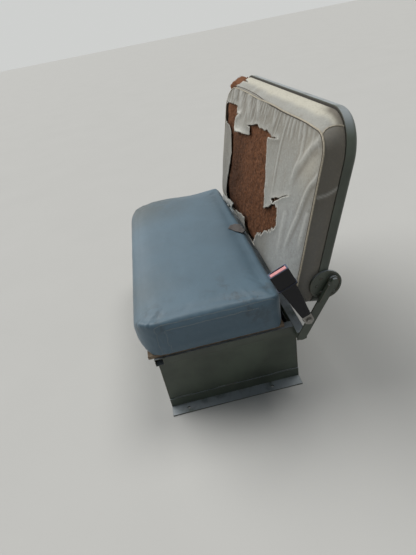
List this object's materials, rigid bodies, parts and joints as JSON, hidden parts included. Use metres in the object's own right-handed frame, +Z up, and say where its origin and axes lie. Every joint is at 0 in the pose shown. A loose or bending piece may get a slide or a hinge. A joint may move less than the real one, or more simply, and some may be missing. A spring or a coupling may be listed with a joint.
{
  "type": "two-place bench seat of a truck cab",
  "caption": "Bench seat for a truck cab: torn padded back that folds forward, cushion frame that tips up from a steel stowage box, and a belt buckle.",
  "frame": {"origin": "middle of the four floor bolts, on the floor", "axes": "+Z up, -Y the way the sitter looks, +X towards the sitter's left hand"},
  "size_m": [1.081, 0.6902, 0.9078],
  "materials": {
    "green_paint": "worn semi-gloss green paint",
    "bumper_rubber": "matt",
    "cushion_cover": "smooth coated cloth, satin",
    "board": "raw plywood",
    "bare_steel": "dull zinc",
    "back_cover": "worn coated cloth, torn",
    "black_plastic": "fine grain",
    "button_red": "faded"
  },
  "bodies": {
    "base": {"box_front": "green_paint", "box_rear": "green_paint", "box_side_left": "green_paint", "box_side_right": "green_paint", "box_floor": "green_paint", "floor_angle_left": "green_paint", "floor_angle_right": "green_paint", "rubber_bumpers": "bumper_rubber", "box_hinge_leaf_left": "green_paint", "box_hinge_leaf_right": "green_paint"},
    "seat": {"cushion": "cushion_cover", "cushion_board": "board", "front_rail": "green_paint", "rear_rail": "green_paint", "side_rail_left": "green_paint", "side_rail_right": "green_paint", "back_bracket_left": "green_paint", "back_bracket_right": "green_paint", "pivot_bolt_left": "green_paint", "pivot_bolt_right": "green_paint", "anchor_bolt": "bare_steel", "frame_hinge_leaf_left": "green_paint", "frame_hinge_leaf_right": "green_paint"},
    "back": {"back_pad": "back_cover", "back_panel": "board", "back_shell": "green_paint", "hinge_disc_left": "green_paint", "hinge_disc_right": "green_paint"},
    "buckle": {"buckle_eye": "bare_steel", "buckle_sleeve": "black_plastic", "buckle_case": "black_plastic", "buckle_button": "button_red"}
  },
  "joints": [
    {"name": "seat_tip", "type": "hinge", "parent": "base", "child": "seat", "pos_m": [0, -0.2205, 0.259], "axis": [1, 0, 0], "range_deg": [0, 60]},
    {"name": "back_fold", "type": "hinge", "parent": "seat", "child": "back", "pos_m": [0, 0.352, 0.462], "axis": [1, 0, 0], "range_deg": [0, 40]},
    {"name": "buckle_swing", "type": "hinge", "parent": "seat", "child": "buckle", "pos_m": [0.5315, 0.271, 0.345], "axis": [1, 0, 0], "range_deg": [-10, 40]}
  ]
}
